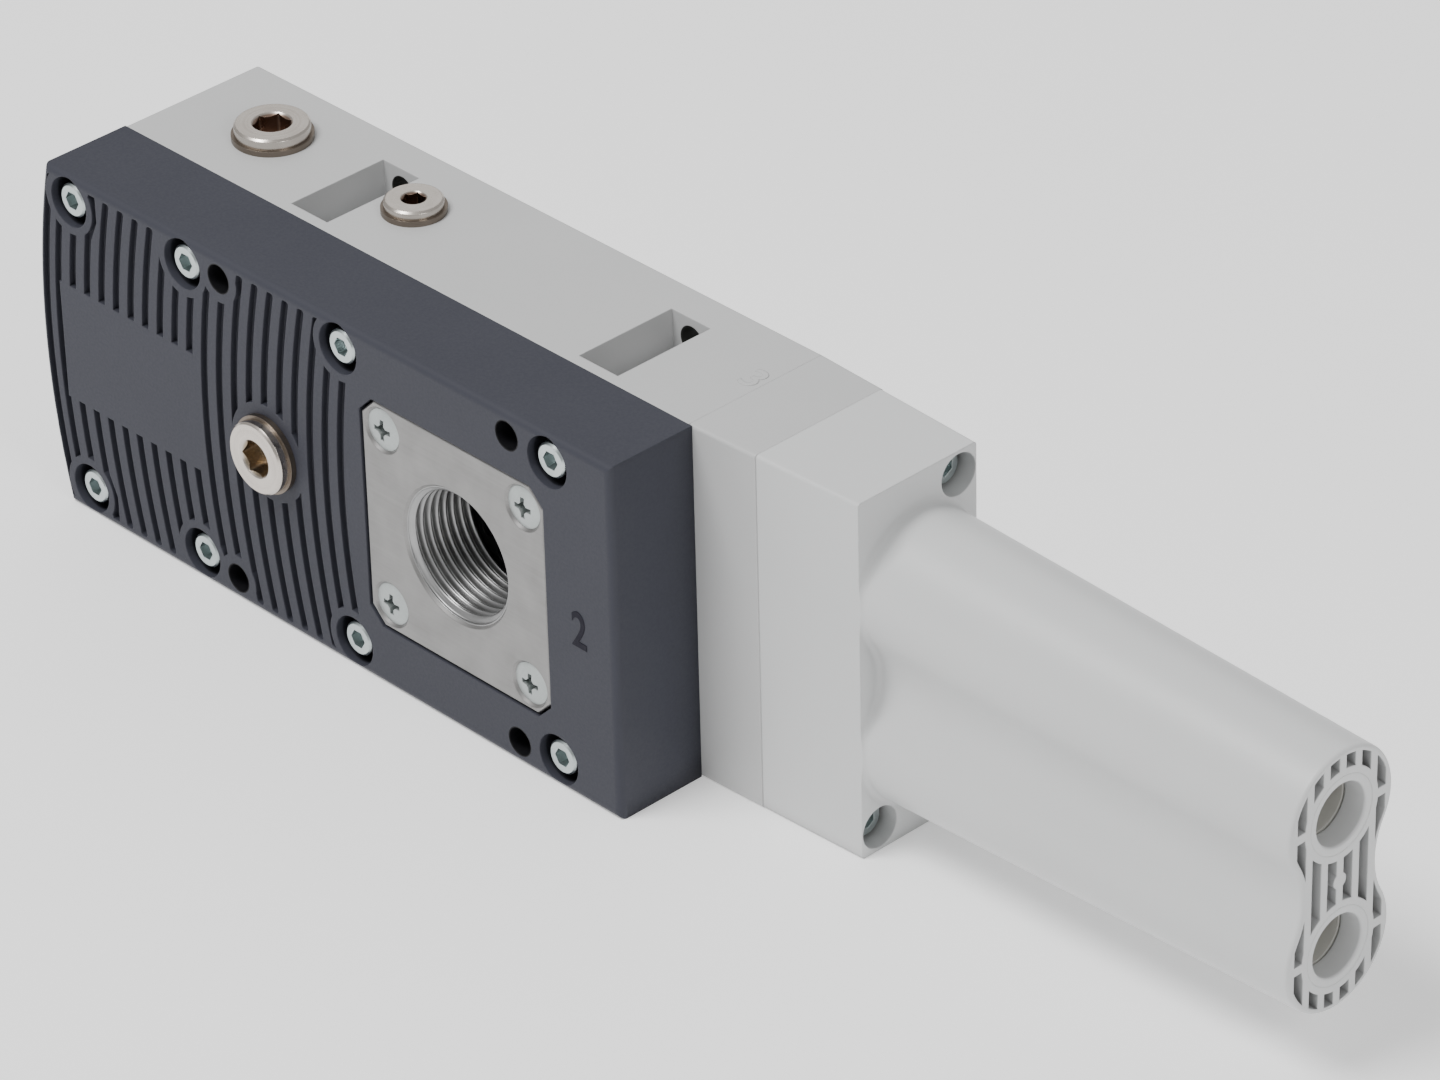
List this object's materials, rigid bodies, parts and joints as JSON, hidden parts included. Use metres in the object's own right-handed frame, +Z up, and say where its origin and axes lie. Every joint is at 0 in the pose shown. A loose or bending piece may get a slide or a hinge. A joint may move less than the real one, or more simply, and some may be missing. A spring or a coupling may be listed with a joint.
{
  "type": "vacuum ejector",
  "caption": "Multi-stage vacuum ejector: a grooved front cover with a threaded suction port plate, a flat-backed housing with through bolt holes, and a figure-of-eight exhaust silencer.",
  "frame": {"origin": "centre of the four mounting holes, in the back face", "axes": "+X towards the silencer, +Y out of the back face (the cover and its suction port face -Y), +Z up as in the picture"},
  "size_m": [0.3655, 0.069, 0.0955],
  "materials": {
    "housing": "light grey glass-filled moulding, fine satin grain",
    "silencer": "light grey moulding, smooth satin",
    "cover": "anthracite moulding, satin grain with curved grooves",
    "port_plate": "machined plate, clear anodised",
    "valve_plate": "plain sheet",
    "gasket": "moulded rubber",
    "flap": "thin moulded rubber",
    "rivet": "moulded push rivets",
    "screw": "zinc-plated steel",
    "insert": "turned brass",
    "sieve": "black moulded plastic disc",
    "plug": "nickel-plated, turned",
    "plug_ring": "flat nickel-plated brass ring",
    "drive_nozzle": "turned brass",
    "nozzle": "natural moulded plastic",
    "absorber": "porous felt sleeve",
    "inner_tube": "off-white slotted tube"
  },
  "bodies": {
    "root": {"housing": "housing", "exhaust_block": "housing", "silencer_housing": "silencer", "cover": "cover", "port_plate": "port_plate", "valve_plate": "valve_plate", "cover_gasket": "gasket", "chamber_gasket": "gasket", "exhaust_block_gasket": "gasket", "silencer_gasket": "gasket", "port_seal": "gasket", "drive_nozzle_seals": "gasket", "second_nozzle_seals": "gasket", "third_nozzle_seals": "gasket", "outlet_nozzle_seals": "gasket", "second_stage_flaps": "flap", "third_stage_flaps": "flap", "flap_rivets": "rivet", "cover_screws": "screw", "port_plate_screws": "screw", "block_screws": "screw", "silencer_screws": "screw", "cover_screw_inserts": "insert", "port_screw_inserts": "insert", "end_screw_inserts": "insert", "inlet_sieve": "sieve", "front_plug": "plug", "supply_plug": "plug", "gauge_plug": "plug", "front_plug_seal": "plug_ring", "supply_plug_seal": "plug_ring", "gauge_plug_seal": "plug_ring", "upper_drive_nozzle": "drive_nozzle", "lower_drive_nozzle": "drive_nozzle", "upper_second_nozzle": "nozzle", "lower_second_nozzle": "nozzle", "upper_third_nozzle": "nozzle", "lower_third_nozzle": "nozzle", "upper_outlet_nozzle": "nozzle", "lower_outlet_nozzle": "nozzle", "upper_absorber": "absorber", "lower_absorber": "absorber", "upper_inner_tube": "inner_tube", "lower_inner_tube": "inner_tube"}
  },
  "joints": []
}
